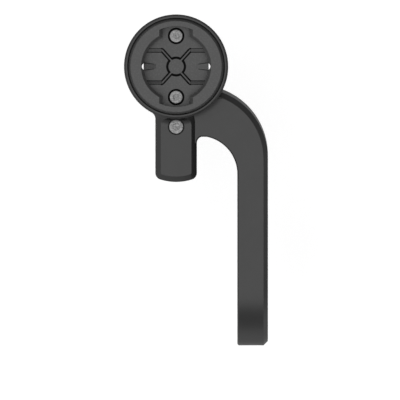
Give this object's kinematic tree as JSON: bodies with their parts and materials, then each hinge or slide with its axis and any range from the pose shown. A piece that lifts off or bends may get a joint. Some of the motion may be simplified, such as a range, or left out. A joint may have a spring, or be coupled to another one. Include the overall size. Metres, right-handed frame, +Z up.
{
  "type": "bike computer mount",
  "caption": "Offset arm that clamps to a handlebar and carries a bike computer in a quarter-turn socket, with a three-finger fork for a light under its tongue.",
  "frame": {"origin": "on the handlebar's axis at the middle of the clamp's width", "axes": "+X along the bar to the rider's right, +Y forward over the bar, +Z up, out of the socket"},
  "size_m": [0.0555, 0.1276, 0.0512],
  "materials": {
    "anodised_aluminium": "bead-blasted, black anodised, matt",
    "glass_filled_nylon": "moulded, fine satin texture",
    "adapter_nylon": "moulded, fine satin texture",
    "stainless_screw": "tumbled stainless steel",
    "stainless_fastener": "tumbled stainless steel",
    "liner_rubber": "smooth moulded rubber"
  },
  "bodies": {
    "mount": {"arm_body": "anodised_aluminium", "quarter_turn_insert": "glass_filled_nylon", "insert_screw_front": "stainless_screw", "insert_screw_rear": "stainless_screw", "adapter_screw": "stainless_screw", "accessory_adapter": "adapter_nylon", "adapter_nut": "stainless_fastener", "upper_bar_liner": "liner_rubber"},
    "lower_clamp": {"lower_jaw": "anodised_aluminium", "clamp_bolt_front": "stainless_fastener", "clamp_bolt_rear": "stainless_fastener", "clamp_washer_front": "stainless_fastener", "clamp_washer_rear": "stainless_fastener", "lower_bar_liner": "liner_rubber"}
  },
  "joints": [
    {"name": "lower_jaw_drop", "type": "slide", "parent": "mount", "child": "lower_clamp", "axis": [0, 0, -1], "range_m": [0, 0.03]}
  ]
}
